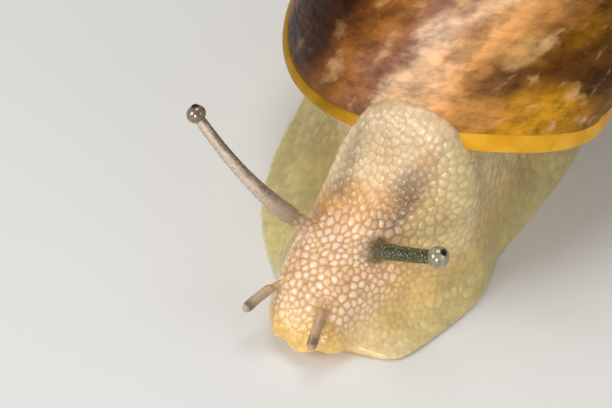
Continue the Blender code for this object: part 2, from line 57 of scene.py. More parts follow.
# Foot: middle line, half width and crest height along the body.
FOOT_FRONT = 0.1
FOOT_END = 60.9
FOOT_NOSE = 1.2
TAIL_NOSE = 5.0
MARGIN = 0.45
FOOT_STATIONS = [
    (0.1, 0.2, 3.2, 1.0),
    (1.0, 0.1, 3.5, 1.2),
    (2.2, 0.0, 4.2, 1.6),
    (4.0, 0.0, 5.1, 1.9),
    (6.0, -0.2, 6.1, 2.1),
    (9.0, -0.8, 6.8, 2.2),
    (13.0, -0.6, 7.6, 2.3),
    (18.0, 0.0, 8.1, 2.3),
    (25.0, 0.0, 7.9, 2.2),
    (29.0, 0.0, 7.6, 2.0),
    (32.0, 0.0, 7.2, 2.4),
    (36.0, 0.0, 6.5, 3.5),
    (41.0, 0.0, 5.6, 3.9),
    (47.0, 0.0, 4.5, 3.3),
    (53.0, 0.0, 3.3, 2.3),
    (58.0, 0.0, 2.3, 1.3),
    (61.0, 0.0, 1.8, 0.7),
]

# Body above the foot: middle, half width, height of the widest place and top.
HEAD_FRONT = -0.9
HEAD_NOSE = 1.3
HEAD_YAW = math.radians(16)
YAW_ENDS = (3.0, 9.0)
NOSE_HEIGHT = 1.5
BODY_STATIONS = [
    (-0.9, -2.35, 2.0, 1.3, 2.0),
    (0.2, -2.30, 2.3, 1.5, 2.7),
    (1.2, -2.20, 2.5, 1.7, 3.5),
    (2.5, -1.85, 2.8, 1.9, 4.5),
    (4.0, -1.20, 3.2, 2.2, 5.2),
    (5.5, -0.25, 3.8, 2.5, 6.5),
    (6.5, 0.40, 4.0, 2.75, 8.6),
    (7.3, 0.90, 4.0, 3.0, 10.5),
    (8.0, 1.15, 3.9, 3.2, 11.1),
    (9.3, 1.20, 3.8, 3.4, 10.8),
    (10.5, 1.10, 4.0, 3.6, 10.2),
    (14.0, 0.70, 4.7, 3.9, 9.4),
    (19.0, 0.30, 5.4, 4.1, 9.0),
    (24.0, 0.10, 5.4, 3.7, 7.6),
    (28.0, 0.00, 4.6, 3.0, 5.2),
    (31.5, 0.00, 3.2, 2.7, 3.1),
]
TRUNK_END = 31.5
FLARE = 0.10
SQUARE_FROM = (5.0, 8.0)  # the body's section changes from round to squarer between these places
SQUARENESS = 0.7

# Shell, in its own frame: the axis is z, the apex is the origin and the aperture is at angle 0.
SHELL_DIAMETER = 29.2
WHORL_GROWTH = 2.0
TIP_TURNS = 5.0  # whorls that the surface shows up to the apex
SECTION_CENTRE = 8.2
SECTION_HALF_WIDTH = SHELL_DIAMETER / (1 + WHORL_GROWTH**-0.5) - SECTION_CENTRE
SECTION_HALF_HEIGHT = 9.1
SECTION_DROP = 1.95 * SECTION_CENTRE
SECTION_TILT = math.radians(6)
LEAN_COS = math.cos(SECTION_TILT)
LEAN_SIN = math.sin(SECTION_TILT)
LIP_SKEW = 0.52
LIP_AHEAD = -0.005
APEX = np.array((-5.95, 31.2, 17.3))
AXIS_RISE = math.radians(31)
AXIS_TURN = math.radians(31.5)
AXIS_SPIN = math.radians(-9)
BASE_RADIUS = 0.3
LIP_TURN = 0.10
LIP_THICKNESS = 0.85
WALL = 0.35
SPIRE_END = -math.tau - 0.6  # turn at which the spire's surface gives way to the last whorl's
TIP_REACH = 1.35  # radius of the rounded tip in radii of the whorl there
TIP_HEIGHT = 0.75
TIP_SUNK = 0.35
TIP_PHI = 0.85  # section angle whose colour the tip has
HUMP_END = 9.5  # ahead of here the neck's hump may rise past the shell's rim
PLACE_UNITS = (14.0, 9.0)  # millimetres of the last whorl's surface to a radian of turn and section angle

# Tentacles: line through root, middle and tip, radii there, radius of the eye bulb at the tip, and the share
# of the line from which the tentacle is free of the head.
THICK = (0.66, 0.45, 0.37)
THIN = (0.66, 0.40, 0.28)
LOWER = (0.36, 0.28, 0.29)
TENTACLES = {
    "upper_left": (((-0.9, 4.1, 4.2), (1.5, 3.0, 5.3), (4.42, 1.99, 6.72)), THICK, 0.62, 0.36),
    "upper_right": (((-2.8, 4.1, 4.5), (-6.05, 3.7, 7.3), (-9.6, 4.56, 10.82)), THIN, 0.54, 0.2),
    "lower_left": (((-1.35, 1.6, 3.0), (-1.3, -0.4, 2.75), (-1.35, -1.8, 1.9)), LOWER, 0.0, 0.34),
    "lower_right": (((-3.6, 1.9, 3.1), (-4.6, 0.5, 2.9), (-5.35, -0.55, 2.45)), LOWER, 0.0, 0.34),
}
PUPIL_RADIUS = 0.195
PUPIL_FLATNESS = 0.6
PUPIL_DEPTH = 0.03
BULB_FLATNESS = 0.08
# The right bulb is a painted shaded copy of the same bulb: 1 darkens it.
BULB_SHADE = {"upper_left": 0.0, "upper_right": 1.0}
PUPIL_SIDE = {"upper_left": (0.49, -0.08, 0.87), "upper_right": (-0.15, 0.18, 0.97)}
MOUTH_PARTS = [
    ((-2.15, -0.15, 1.0), (1.15, 1.15, 0.7)),
    ((-0.75, 0.05, 0.85), (0.9, 0.9, 0.62)),
    ((-3.4, 0.4, 1.1), (0.8, 1.1, 0.75)),
]


def middle_of(node):
    low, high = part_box(node)
    return np.array((low + high) / 2) / MM


TO_FRAME = middle_of("eye_bulb_left") - np.array(TENTACLES["upper_left"][0][2])


def through(stations, at):
    """Values on a smooth curve through the stations, whose first column is the place along the body."""
    table = np.array(stations, float)
    place, values = table[:, 0], table[:, 1:]
    slope = np.gradient(values, place, axis=0)
    at = np.clip(np.atleast_1d(np.asarray(at, float)), place[0], place[-1])
    i = np.clip(np.searchsorted(place, at, side="right") - 1, 0, len(place) - 2)
    span = (place[i + 1] - place[i])[:, None]
    t = (at - place[i])[:, None] / span
    rise = 3 * t**2 - 2 * t**3
    ends = values[i] * (1 - rise) + values[i + 1] * rise
    return ends + span * (slope[i] * (t - 2 * t**2 + t**3) + slope[i + 1] * (t**3 - t**2))


def blunt(distance, length):
    """1 away from an end and 0 at it, along a quarter of an ellipse."""
    return np.sqrt(1 - np.clip(1 - distance / length, 0, 1) ** 2)


def smooth(low, high, value):
    """0 below low, 1 above high and an eased rise between."""
    t = np.clip((value - low) / (high - low), 0, 1)
    return t * t * (3 - 2 * t)


# ---- flesh


def foot_ring(y):
    """One ring of the foot at y, from the sole's left edge round over its back."""
    middle, half, crest = through(FOOT_STATIONS, y)[0]
    narrow = blunt(y - FOOT_FRONT + 0.02, FOOT_NOSE) ** 0.7
    taper = blunt(FOOT_END - y + 0.02, TAIL_NOSE)
    half = half * narrow**0.5 * taper
    crest = max(crest * narrow, MARGIN + 0.15)
    body_middle, body_half = through(BODY_STATIONS, y)[0, :2]
    body_half *= 1 + FLARE
    keel = np.clip((y - TRUNK_END) / 4, 0, 1)
    edges = [
        (1 - keel) * (body_middle + side * body_half) + keel * (middle + side * 0.3 * half)
        for side in (-1, 1)
    ]
    low, high = np.clip(edges, middle - half + 0.3, middle + half - 0.3)
    crown = 0.35 * keel * taper
    flanks = []
    for side, edge in ((-1, low), (1, high)):
        margin = middle + side * half
        flank = [(margin - side * 0.14, 0.0), (margin, 0.4 * MARGIN), (margin - side * 0.12, MARGIN)]
        start = margin - side * 0.12
        for share in np.linspace(0.12, 1, 8):
            flank.append((start + (edge - start) * share, MARGIN + (crest - MARGIN) * share**1.4))
        flanks.append(flank)
    across = np.linspace(0, 1, 7)[1:-1]
    back = [(low + (high - low) * s, crest + crown * (1 - (2 * s - 1) ** 2)) for s in across]
    return [(x, y, z) for x, z in flanks[0] + back + flanks[1][::-1]]


def body_ring(y):
    """One ring of the head, neck or trunk at y, sunk a little into the foot."""
    middle, half, waist, top = through(BODY_STATIONS, y)[0]
    crest = through(FOOT_STATIONS, y)[0, 2] * blunt(y - FOOT_FRONT + 0.02, FOOT_NOSE) ** 0.7
    floor = max(crest - 0.5, 0.75)
    size = blunt(y - HEAD_FRONT + 0.03, HEAD_NOSE)
    turn = HEAD_YAW * np.clip((YAW_ENDS[1] - y) / (YAW_ENDS[1] - YAW_ENDS[0]), 0, 1)
    power = 2 / (2 + SQUARENESS * float(smooth(*SQUARE_FROM, y)))
    flank = [(1 + FLARE, floor), (1 + FLARE / 3, (floor + waist) / 2)]
    loop = [(-half * wide, z) for wide, z in flank]
    for angle in np.linspace(math.pi, 0, 41):
        wide, high = math.cos(angle), max(math.sin(angle), 0.0)
        wide = math.copysign(abs(wide) ** power, wide)
        loop.append((half * wide, waist + (top - waist) * high**power))
    loop += [(half * wide, z) for wide, z in flank[::-1]]
    ring = []
    for x, z in loop:
        x *= size**0.8
        z = NOSE_HEIGHT + (z - NOSE_HEIGHT) * size
        ring.append((middle + x * math.cos(turn), y - x * math.sin(turn), z))
    return ring


def places(start, end, step, nose_front=0.0, nose_back=0.0):
    """Places from start to end about a step apart, closer together where an end is rounded."""
    found = set(np.linspace(start, end, round((end - start) / step) + 1).round(3))
    for length, at, way in ((nose_front, start, 1), (nose_back, end, -1)):
        if length:
            angles = np.radians((0, 8, 16, 26, 36, 48, 62))
            found |= set((at + way * length * (1 - np.cos(angles))).round(3))
            found -= {p for p in found if 0 < way * (p - at) < 0.01}
    return sorted(found)


def quads(rows, columns, first=0, closed=False, flip=False):
    """Faces between neighbouring rows of points, which are rings where they are closed."""
    faces = []
    for i in range(first, first + (rows - 1) * columns, columns):
        for j in range(columns if closed else columns - 1):
            a, b = i + j, i + (j + 1) % columns
            face = (a, b, b + columns, a + columns)
            faces.append(face[::-1] if flip else face)
    return faces


def loft(rings):
    """Vertices and faces of a closed tube through rings of equal count."""
    count = len(rings[0])
    points = [point for ring in rings for point in ring]
    faces = quads(len(rings), count, closed=True)
    for first, row in ((0, 0), (len(rings) - 1, 1)):
        centre = np.mean(rings[first], axis=0)
        points.append(tuple(centre))
        for j in range(count):
            a, b = first * count + j, first * count + (j + 1) % count
            faces.append((a, b, len(points) - 1) if row else (b, a, len(points) - 1))
    return points, faces


def parabola(root, middle, tip, t):
    """Points at t on the parabola from root through middle halfway to tip, and its directions there."""
    root, middle, tip = (np.array(p, float) for p in (root, middle, tip))
    t = np.atleast_1d(t)[:, None]
    handle = 2 * middle - (root + tip) / 2
    point = (1 - t) ** 2 * root + 2 * t * (1 - t) * handle + t**2 * tip
    way = 2 * (1 - t) * (handle - root) + 2 * t * (tip - handle)
    return point, way / np.linalg.norm(way, axis=1, keepdims=True)


def line_length(line):
    points, _ = parabola(*line, np.linspace(0, 1, 30))
    return np.linalg.norm(np.diff(points, axis=0), axis=1).sum()


def stalk_radius(name, t):
    """Radius of a tentacle at the share t of its line."""
    _, radii, _, _ = TENTACLES[name]
    return through([(0, radii[0]), (0.5, radii[1]), (1, radii[2])], t)[:, 0]


def stalk_end(name):
    """The share of its line at which the skin of a tentacle stops."""
    line, _, bulb, _ = TENTACLES[name]
    return 1 - 0.45 * bulb / line_length(line) if bulb else 0.96


def stalk_rings(name, count=34, sides=20):
    """Rings of a tentacle, rounded over at its tip where it has no eye."""
    t = np.linspace(0, stalk_end(name), count)
    points, ways = parabola(*TENTACLES[name][0], t)
    sizes = stalk_radius(name, t)
    rings = [circle(point, way, size, sides) for point, way, size in zip(points, ways, sizes)]
    for angle in np.radians((25, 50, 72)):
        point = points[-1] + ways[-1] * sizes[-1] * math.sin(angle)
        rings.append(circle(point, ways[-1], sizes[-1] * math.cos(angle), sides))
    return rings


def circle(centre, way, radius, sides):
    side = np.cross(way, (0.0, 0.0, 1.0))
    side /= np.linalg.norm(side)
    over = np.cross(side, way)
    angles = np.linspace(0, math.tau, sides, endpoint=False)
    return [tuple(centre + radius * (math.cos(a) * side + math.sin(a) * over)) for a in angles]


def ball(centre=(0, 0, 0), radii=(1, 1, 1), segments=24, rings=16):
    """Points and faces of an ellipsoid."""
    shape = bmesh.new()
    bmesh.ops.create_uvsphere(shape, u_segments=segments, v_segments=rings, radius=1)
    points = np.array([v.co[:] for v in shape.verts]) * radii + centre
    faces = sorted(tuple(v.index for v in f.verts) for f in shape.faces)
    shape.free()
    return points, faces


# ---- shell form


def straight_section(phi, grow=0.0, share=1.0):
    """Radius and height of the whorl's section, or of a share of it, before the skew of the aperture."""
    across = (SECTION_HALF_WIDTH + grow) * share * np.cos(phi)
    along = (SECTION_HALF_HEIGHT + grow) * share * np.sin(phi)
    radius = SECTION_CENTRE + across * LEAN_COS - along * LEAN_SIN
    return radius, -SECTION_DROP + across * LEAN_SIN + along * LEAN_COS


def section(phi, grow=0.0):
    """Radius and height of the whorl's section at angle phi, 0 outwards and 90 degrees towards the apex."""
    radius, height = straight_section(phi, grow)
    size = WHORL_GROWTH ** (-LIP_SKEW * np.sin(phi) / math.tau)
    return np.maximum(radius, BASE_RADIUS) * size, height * size


def around_axis(turn, radius, height):
    return np.stack([radius * np.cos(turn), -radius * np.sin(turn), height], -1)


def shell_points(turn, phi, grow=0.0):
    """Points of the shell at angles of turn about its axis, 0 at the aperture and negative before."""
    radius, height = section(phi, grow)
    size = WHORL_GROWTH ** (turn / math.tau)
    return around_axis(turn, size * radius, size * height)


def lip_angle(phi):
    return LIP_AHEAD + LIP_SKEW * np.sin(phi)


def suture_angles():
    """The section's angles where a whorl meets the ones before and after it, by Newton's method."""
    angles = np.radians((100.0, 10.0))

    def miss(pair):
        upper, lower = section(pair[0]), section(pair[1])
        return np.array([lower[i] / WHORL_GROWTH - upper[i] for i in range(2)])

    step = 1e-6
    for _ in range(30):
        slopes = np.array([(miss(angles + step * axis) - miss(angles)) / step for axis in np.eye(2)]).T
        angles = angles - np.linalg.solve(slopes, miss(angles))
    return angles


def base_angle():
    """The lower angle at which the section reaches BASE_RADIUS beside the axis."""
    phi = np.linspace(-math.pi, -math.pi / 2, 2000)
    return float(phi[np.argmax(straight_section(phi)[0] > BASE_RADIUS)])


UPPER_SUTURE, LOWER_SUTURE = suture_angles()
BASE = base_angle()


def shell_matrix():
    """The shell's own axes as columns: its z is the shell's axis and its x points at the aperture."""
    right, ahead, up = Vector((-1, 0, 0)), Vector((0, -1, 0)), Vector((0, 0, 1))
    level = right * math.cos(AXIS_TURN) - ahead * math.sin(AXIS_TURN)
    axis = level * math.cos(AXIS_RISE) + up * math.sin(AXIS_RISE)
    forward = ahead * math.cos(AXIS_TURN) + right * math.sin(AXIS_TURN)
    over = axis.cross(forward)
    x = forward * math.cos(AXIS_SPIN) + over * math.sin(AXIS_SPIN)
    return np.array([x, axis.cross(x), axis]).T


SHELL_AXES = shell_matrix()


def from_shell(points):
    return np.asarray(points) @ SHELL_AXES.T + APEX


def shell_place(points):
    """For points round the last whorl: turn past the lip, section angle and share of the section's size."""
    local = (points - APEX) @ SHELL_AXES
    turn = np.arctan2(-local[:, 1], local[:, 0])
    size = WHORL_GROWTH ** (turn / math.tau)
    phi = np.zeros(len(points))
    for _ in range(6):
        skewed = size * WHORL_GROWTH ** (-LIP_SKEW * np.sin(phi) / math.tau)
        out = np.hypot(local[:, 0], local[:, 1]) / skewed - SECTION_CENTRE
        rise = local[:, 2] / skewed + SECTION_DROP
        across = (out * LEAN_COS + rise * LEAN_SIN) / SECTION_HALF_WIDTH
        along = (rise * LEAN_COS - out * LEAN_SIN) / SECTION_HALF_HEIGHT
        phi = np.arctan2(along, across)
    return turn, phi, np.hypot(across, along)


def point_in_shell(turn, phi, share):
    """The point at a section angle and a share of the section's size, the reverse of shell_place."""
    radius, height = straight_section(phi, share=share)
    size = WHORL_GROWTH ** ((turn - LIP_SKEW * np.sin(phi)) / math.tau)
    return from_shell(around_axis(turn, radius * size, height * size))


def inside_shell(points):
    """Draws the flesh in from the shell's wall and its thick lip, wherever it goes under them."""
    turn, phi, share = shell_place(points)
    behind = lip_angle(phi) - turn
    room = 0.94 - 0.04 * smooth(0.25, 0.1, behind)
    near = (points[:, 2] > 3.5) & (points[:, 1] > HUMP_END) & (points[:, 1] < 22)
    near &= (share > room) & (share < 1.4) & (behind > 0) & (behind < 1.5)
    points = points.copy()
    points[near] = point_in_shell(turn[near], phi[near], room[near])
    return points


COLLAR_BACK = -LIP_TURN - 0.25
COLLAR_STEPS = [
    # turn past the lip's edge, and share of the aperture's size
    (COLLAR_BACK, 0.02), (COLLAR_BACK, 0.6), (COLLAR_BACK, 1), (-0.03, 1),
    (0.02, 0.96), (0.04, 0.86), (0.05, 0.7), (0.05, 0.02),
]


def collar_rings():
    """The mantle collar that closes the aperture behind the lip, bulging a little out of it."""
    angles = np.linspace(-math.pi, math.pi, 60, endpoint=False)
    rings = []
    for turn, size in COLLAR_STEPS:
        edge = from_shell(shell_points(lip_angle(angles) + turn, angles, -LIP_THICKNESS + 0.05))
        centre = edge.mean(axis=0)
        rings.append([tuple(centre + (point - centre) * size) for point in edge])
    return rings


# ---- mesh helpers


def mesh_object(name, points, faces):
    """A closed mesh whose faces look outwards."""
    mesh = bpy.data.meshes.new(name)
    mesh.from_pydata([tuple(p) for p in points], [], faces)
    shape = bmesh.new()
    shape.from_mesh(mesh)
    bmesh.ops.recalc_face_normals(shape, faces=shape.faces)
    shape.to_mesh(mesh)
    shape.free()
    piece = bpy.data.objects.new(name, mesh)
    bpy.context.scene.collection.objects.link(piece)
    return piece


def read(items, field, width, kind=np.float32):
    """One field of a mesh's vertices, edges or normals, a row for each."""
    found = np.empty(len(items) * width, kind)
    items.foreach_get(field, found)
    return found.reshape(-1, width)


def points_of(mesh):
    return read(mesh.vertices, "co", 3).astype(float)


def set_points(mesh, points):
    mesh.vertices.foreach_set("co", np.asarray(points, np.float32).ravel())
    mesh.update()


def above_floor(points):
    return np.maximum(points, (-np.inf, -np.inf, 0))


def edges_of(mesh):
    return read(mesh.edges, "vertices", 2, np.int32)


def relax(points, edges, rounds, weight=None, back=0.0):
    """Laplacian smoothing of points along edges; back undoes its shrinking where that matters."""
    count = np.bincount(edges.ravel(), minlength=len(points)).clip(1)[:, None]
    both = np.concatenate([edges, edges[:, ::-1]])
    for i in range(rounds):
        total = np.stack([np.bincount(both[:, 0], points[both[:, 1], k], len(points)) for k in range(3)], 1)
        pull = total / count - points
        strength = -back if back and i % 2 else 0.5
        points = points + strength * pull * (1 if weight is None else weight[:, None])
    return points


def add_value(mesh, name, values):
    layer = mesh.attributes.new(name, "FLOAT", "POINT")
    layer.data.foreach_set("value", np.asarray(values, np.float32))


def add_colour(mesh, name, colours):
    layer = mesh.attributes.new(name, "FLOAT_COLOR", "POINT")
    rgba = np.ones((len(colours), 4), np.float32)
    rgba[:, :3] = colours
    layer.data.foreach_set("color", rgba.ravel())


def place(piece):
    """Moves a finished mesh from its layout in millimetres to the row's frame in metres."""
    piece.data.transform(Matrix.Scale(MM, 4) @ Matrix.Translation(Vector(TO_FRAME)))
    piece.data.shade_smooth()
    return piece


def subdivide(mesh, chosen):
    """Splits the faces whose centre is chosen into four."""
    shape = bmesh.new()
    shape.from_mesh(mesh)
    centres = np.array([f.calc_center_median()[:] for f in shape.faces])
    faces = [f for f, wanted in zip(shape.faces, chosen(centres)) if wanted]
    edges = list({e for f in faces for e in f.edges})
    bmesh.ops.subdivide_edges(shape, edges=edges, cuts=1, use_grid_fill=True)
    shape.to_mesh(mesh)
    shape.free()
    mesh.update()


# ---- the skin


VOXEL = 0.17
SWELL = 0.53  # how far each second round of smoothing swells the skin again
FINE_HEAD_END = 9.5
STALK_BEADS = 0.15  # space between the tubercles of the tentacles
SEED_TRIES = 150000


def nearest_on_stalk(points, line, samples=60):
    """For each point, its distance from a tentacle's line and the share along that line."""
    t = np.linspace(0, 1, samples)
    spine = parabola(*line, t)[0]
    best = np.full(len(points), 1e9)
    share = np.zeros(len(points))
    for i in range(samples - 1):
        a, b = spine[i], spine[i + 1]
        along = np.clip(((points - a) @ (b - a)) / ((b - a) @ (b - a)), 0, 1)
        gap = np.linalg.norm(points - a - along[:, None] * (b - a), axis=1)
        closer = gap < best
        best[closer] = gap[closer]
        share[closer] = t[i] + along[closer] * (t[i + 1] - t[i])
    return best, share


def skin_base():
    """All the flesh as overlapping closed forms, made one surface and eased where the forms meet."""
    forms = [
        loft([foot_ring(y) for y in places(FOOT_FRONT, FOOT_END, 0.6, FOOT_NOSE, TAIL_NOSE)]),
        loft([body_ring(y) for y in places(HEAD_FRONT, TRUNK_END, 0.5, HEAD_NOSE)]),
        loft(collar_rings()),
    ]
    forms += [ball(*part) for part in MOUTH_PARTS]
    forms += [loft(stalk_rings(name)) for name in TENTACLES]
    points, faces = [], []
    for form_points, form_faces in forms:
        faces += [tuple(i + len(points) for i in f) for f in form_faces]
        points += list(form_points)
    piece = mesh_object("skin", points, faces)
    remesh = piece.modifiers.new("one surface", "REMESH")
    remesh.mode = "VOXEL"
    remesh.voxel_size = VOXEL
    evaluated = piece.evaluated_get(bpy.context.evaluated_depsgraph_get())
    whole = bpy.data.meshes.new_from_object(evaluated)
    old = piece.data
    piece.modifiers.clear()
    piece.data = whole
    bpy.data.meshes.remove(old)
    return piece


def on_stalks(points):
    """Which points belong to a tentacle's free length, and which lie round a tentacle's root."""
    stalk = np.zeros(len(points))
    root = np.zeros(len(points))
    for name, (line, _, _, start) in TENTACLES.items():
        gap, share = nearest_on_stalk(points, line)
        reach = gap / stalk_radius(name, share)
        stalk = np.maximum(stalk, smooth(1.7, 1.3, reach) * smooth(start - 0.06, start + 0.1, share))
        root = np.maximum(root, smooth(2.6, 1.2, reach) * smooth(start + 0.12, start - 0.02, share))
    return stalk, root


def true_stalks(points):
    """Sets each free length of tentacle back to its round form, which smoothing has thinned."""
    points = points.copy()
    for name, (line, _, _, start) in TENTACLES.items():
        gap, share = nearest_on_stalk(points, line)
        size = stalk_radius(name, share)
        centre = parabola(*line, share)[0]
        near = (gap < size * 1.5 + 0.08) & (share < stalk_end(name) - 0.005)
        pull = near * smooth(start, start + 0.14, share)
        out = points - centre
        length = np.linalg.norm(out, axis=1).clip(1e-6)
        target = centre + out / length[:, None] * size[:, None]
        points += (target - points) * pull[:, None]
    return points


def crease_weight(points):
    """How much of the join between foot and body is eased: strong beside the head, none on the margin."""
    y, z = points[:, 1], points[:, 2]
    crest = through(FOOT_STATIONS, y)[:, 2]
    beside = smooth(2.4, 0.5, np.abs(z - crest - 0.2))
    return beside * smooth(-0.4, 1.2, y) * smooth(33, 30, y)


def skin_form():
    piece = skin_base()
    mesh = piece.data
    points = points_of(mesh)
    edges = edges_of(mesh)
    points = relax(points, edges, 12, back=SWELL)
    stalk, root = on_stalks(points)
    weight = np.clip(crease_weight(points) + root, 0, 1) * (1 - stalk)
    points = relax(points, edges, 30, weight=weight)
    points = relax(inside_shell(points), edges, 4, weight=1 - stalk)
    set_points(mesh, true_stalks(inside_shell(points)))

    def head_zone(centres):
        return (centres[:, 1] < FINE_HEAD_END) & (centres[:, 2] > 0.1)

    def stalk_zone(centres):
        return on_stalks(centres)[0] > 0.02

    for zone, rounds in ((head_zone, 6), (stalk_zone, 4)):
        subdivide(mesh, zone)
        points = true_stalks(relax(points_of(mesh), edges_of(mesh), rounds, back=SWELL))
        set_points(mesh, points)
    set_points(mesh, above_floor(points))
    return piece


def on_neck(y):
    return smooth(4.5, 8.0, y) * smooth(15, 11, y)


def bead_space(points, stalk):
    """Coordinates in which all tubercles are round: behind the head they are long along the body."""
    y = points[:, 1]
    stretch = np.where((y < 4) | (stalk > 0.5), y, 4 + (y - 4) * 0.55)
    return np.stack([points[:, 0], stretch, points[:, 2]], 1)


def bead_spacing(points, stalk):
    y = points[:, 1]
    skin = 0.33 + 0.11 * smooth(4, 9, y) + 0.12 * smooth(12, 30, y)
    skin = skin * (1 + 0.3 * waves(points, 1.7, 5))
    return np.where(stalk > 0.5, STALK_BEADS, skin)


def scatter(points, spacing, tries):
    """Seeds among the points, none closer to another than its spacing."""
    order = RNG.permutation(len(points))[:tries]
    keys = np.floor(points / float(spacing.max())).astype(int)
    around = list(itertools.product((-1, 0, 1), repeat=3))
    grid, chosen = {}, []
    for i in order:
        x, y, z = keys[i]
        p, limit = points[i], spacing[i] ** 2
        near = (q for dx, dy, dz in around for q in grid.get((x + dx, y + dy, z + dz), ()))
        if all((q[0] - p[0]) ** 2 + (q[1] - p[1]) ** 2 + (q[2] - p[2]) ** 2 >= limit for q in near):
            grid.setdefault((x, y, z), []).append(p)
            chosen.append(i)
    return np.array(chosen)


def beads(points, stalk):
    """Height of the tubercles at each point, 0 in the grooves and 1 on top, and a random share for each."""
    space = bead_space(points, stalk)
    seeds = scatter(space, bead_spacing(points, stalk), SEED_TRIES)
    tree = KDTree(len(seeds))
    for k, i in enumerate(seeds):
        tree.insert(space[i], k)
    tree.balance()
    own = RNG.random(len(seeds))
    ridge = np.empty(len(points))
    which = np.empty(len(points), int)
    for i, p in enumerate(space):
        (_, k, near), (_, _, far) = tree.find_n(p, 2)
        ridge[i] = (far - near) / (far + near + 1e-9)
        which[i] = k
    return smooth(0.0, 0.42, ridge), own[which]


def mix(colours, other, share):
    """Each colour moved towards other, one colour or one for each, by its share."""
    return colours + (np.asarray(other) - colours) * np.asarray(share)[:, None]


def waves(points, size, seed):
    """A smooth random field between -1 and 1, from a few crossed sine waves."""
    rng = np.random.default_rng(seed)
    total = np.zeros(len(points))
    for _ in range(9):
        way = rng.normal(size=3)
        way /= np.linalg.norm(way)
        total += np.sin(points @ way * math.tau / (size * rng.uniform(0.6, 1.5)) + rng.uniform(0, math.tau))
    return np.clip(total / 4, -1, 1)


ORANGE_TAN = (0.78, 0.42, 0.14)
CREAM = (0.78, 0.58, 0.34)
OCHRE = (0.78, 0.53, 0.19)
STRAW = (0.74, 0.58, 0.26)
# Olive is a painted shade with painted green reflected light; the skirt's yellow-green is partly painted
# green reflected light.
OLIVE_SHADE_AND_BOUNCE = (0.52, 0.42, 0.15)
SKIRT_WITH_GREEN_BOUNCE = (0.66, 0.57, 0.25)
SMUDGE = (0.12, 0.08, 0.045)
TAIL_GREY = (0.24, 0.20, 0.12)
SNOUT_YELLOW = (0.84, 0.53, 0.16)
SNOUT_CREAM = (0.95, 0.72, 0.40)
# Brighter orange and pinkish white tops on the top of the head: partly the tubercles' own colour, partly a
# painted highlight.
BEAD_PINK_PAINTED_HIGHLIGHT = (1.0, 0.78, 0.62)
BEAD_ORANGE_PAINTED_LIGHT = (0.98, 0.58, 0.30)


def skin_ground(x, y, z, wander, fine):
    """Tints of the skin, each with its share at every point, from the ground up."""
    middle, half = through(BODY_STATIONS, y).T[:2]
    across = (x - middle) / half
    crest = through(FOOT_STATIONS, y)[:, 2]
    back = smooth(crest + 0.2, crest + 2.4, z + 0.3 * wander)
    yield ORANGE_TAN, back
    yield CREAM, back * smooth(5.3, 7.0, y + 0.6 * wander)
    yield STRAW, 0.8 * back * smooth(0.5, 0.85, across) * smooth(3.5, 5.0, y)
    # Two dark smudges run back along the neck from the upper tentacles.
    for side, first, last, depth in ((-0.56, 5.3, 8.3, 0.6), (0.47, 4.0, 6.9, 1.0)):
        line = np.exp(-(((across - side + 0.10 * wander) / 0.19) ** 2))
        reach = smooth(first, first + 0.7, y) * smooth(last, last - 1.2, y)
        yield SMUDGE, depth * line * reach * back * (0.8 + 0.2 * fine)
    # The left side of head and neck is ochre nearly down to the margin, the rest olive towards the foot: a
    # painted shade with painted green reflected light.
    low = smooth(crest + 1.3, crest - 0.5, z) * smooth(3.0, 8.0, y + 2.0 * smooth(0.5, -0.5, across))
    yield OLIVE_SHADE_AND_BOUNCE, 0.85 * low
    # The foot's margin: its own pale tone with a painted green reflected light.
    yield SKIRT_WITH_GREEN_BOUNCE, 0.75 * smooth(crest * 0.8, 0.5, z)
    yield TAIL_GREY, 0.7 * (smooth(28, 36, y) * smooth(0.6, 2.4, z))
    yield SNOUT_YELLOW, smooth(1.6, -0.2, y) * smooth(3.0, 1.3, z) * smooth(2.6, 0.2, x)
    chin = smooth(2.4, 0.6, y) * smooth(3.4, 1.8, z) * smooth(-0.6, 0.8, x) * smooth(4.6, 3.0, x)
    yield SNOUT_CREAM, 0.6 * chin


def skin_colours(points, bead, own):
    x, y, z = points.T
    crest = through(FOOT_STATIONS, y)[:, 2]
    wander = waves(points, 3.0, 1)
    fine = waves(points, 1.1, 2)
    colour = np.tile(OCHRE, (len(points), 1))
    for tint, share in skin_ground(x, y, z, wander, fine):
        colour = mix(colour, tint, share)
    # Tubercles have pale tops and darker grooves. On top of the head, brighter orange and pinkish white tops:
    # partly own colour, partly painted highlight.
    head = smooth(-0.7, 0.4, y) * smooth(5.7, 3.9, y) * smooth(1.2, 2.3, z) * smooth(2.6, 0.6, x)
    top = smooth(0.35, 0.95, bead)
    colour = mix(colour, BEAD_ORANGE_PAINTED_LIGHT, 0.3 * head)
    colour = mix(colour, BEAD_PINK_PAINTED_HIGHLIGHT, head * top * (0.3 + 0.6 * own))
    groove = 0.22 - 0.12 * smooth(crest + 1.0, crest - 0.3, z) - 0.07 * on_neck(y)
    colour = colour * (1.02 - groove * (1 - bead) + 0.14 * (own - 0.5))[:, None]
    return colour * (1 + 0.09 * wander + 0.05 * fine)[:, None]


STALK_TONES = {
    # colour at the root and towards the tip, how many granules show and how dark the painted shade on the
    # sides is
    "upper_left": ((0.09, 0.07, 0.022), (0.034, 0.037, 0.004), 1.0, 0.0),
    # The upper right tentacle's pale pinkish grey is partly its own colour and partly a painted highlight on
    # its lit side.
    "upper_right": ((0.36, 0.24, 0.14), (0.62, 0.485, 0.39), 0.9, 0.85),
    "lower_left": ((0.60, 0.36, 0.16), (0.56, 0.36, 0.20), 0.6, 0.4),
    "lower_right": ((0.52, 0.35, 0.19), (0.50, 0.37, 0.24), 0.7, 0.5),
}
# The darker stripe on this side is partly a pigmented band and partly painted shade; the opposite flank gets
# painted shade too.
DARK_SIDE = (0.9, 0.3, 0.3)  # the side of the pale tentacles that carries a darker stripe


